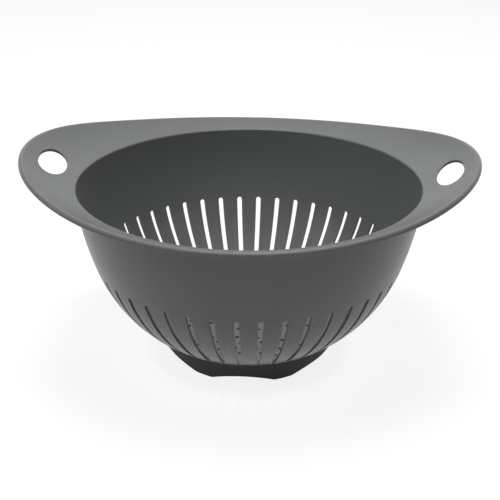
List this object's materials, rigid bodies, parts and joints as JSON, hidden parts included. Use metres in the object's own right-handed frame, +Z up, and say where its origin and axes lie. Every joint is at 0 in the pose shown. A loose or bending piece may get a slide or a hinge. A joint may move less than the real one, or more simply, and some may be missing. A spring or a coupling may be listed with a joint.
{
  "type": "colander",
  "caption": "Round plastic colander with long drain slots, a dished oval rim with a hand hole at each end, and an arched non-slip foot ring.",
  "frame": {"origin": "on the surface that the colander stands on, under the centre of the bowl", "axes": "+X towards one hand hole, +Y across the bowl, +Z up"},
  "size_m": [0.3418, 0.2976, 0.1643],
  "materials": {
    "bowl_plastic": "satin",
    "foot_rubber": "matt"
  },
  "bodies": {
    "root": {"bowl": "bowl_plastic", "foot_ring": "foot_rubber"}
  },
  "joints": []
}
